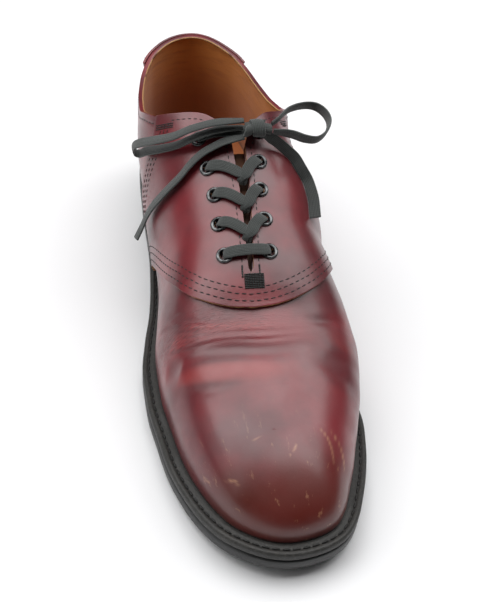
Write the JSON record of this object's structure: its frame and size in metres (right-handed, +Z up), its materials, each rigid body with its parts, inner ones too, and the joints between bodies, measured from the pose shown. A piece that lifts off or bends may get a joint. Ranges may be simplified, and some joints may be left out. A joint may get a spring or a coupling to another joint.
{
  "type": "saddle shoe",
  "caption": "Lace-up leather saddle shoe for the right foot, standing on its welted sole and stacked heel, with an open collar and a tied bow.",
  "frame": {"origin": "on the floor, under the middle of the shoe's box without its bow", "axes": "+Z up from the floor, -Y towards the toe, +X towards the medial side"},
  "size_m": [0.1004, 0.3056, 0.1091],
  "materials": {
    "leather": "polished burgundy smooth leather with worn toe",
    "lining": "tan lining leather, darkened by wear",
    "rubber": "black, satin edge",
    "stacked_heel": "black-dyed stacked layers, waxed",
    "welt": "black-dyed stitched welt",
    "eyelet_metal": "gunmetal, rubbed bright at the rim",
    "lace": "flat ribbed cotton, faded black"
  },
  "bodies": {
    "root": {"outsole": "rubber", "heel_stack": "stacked_heel", "heel_lift": "rubber", "welt": "welt", "insole": "lining", "upper": "leather", "saddle": "leather", "heel_band": "leather", "tongue": "leather", "eyelet_lateral_1": "eyelet_metal", "eyelet_medial_1": "eyelet_metal", "eyelet_lateral_2": "eyelet_metal", "eyelet_medial_2": "eyelet_metal", "eyelet_lateral_3": "eyelet_metal", "eyelet_medial_3": "eyelet_metal", "eyelet_lateral_4": "eyelet_metal", "eyelet_medial_4": "eyelet_metal", "eyelet_lateral_5": "eyelet_metal", "eyelet_medial_5": "eyelet_metal", "lace_bar_1": "lace", "lace_crossing_2": "lace", "lace_crossing_3": "lace", "lace_crossing_4": "lace", "lace_crossing_5": "lace", "lace_knot": "lace", "lace_loop_lateral": "lace", "lace_loop_medial": "lace", "lace_end_lateral": "lace", "lace_end_medial": "lace"}
  },
  "joints": []
}
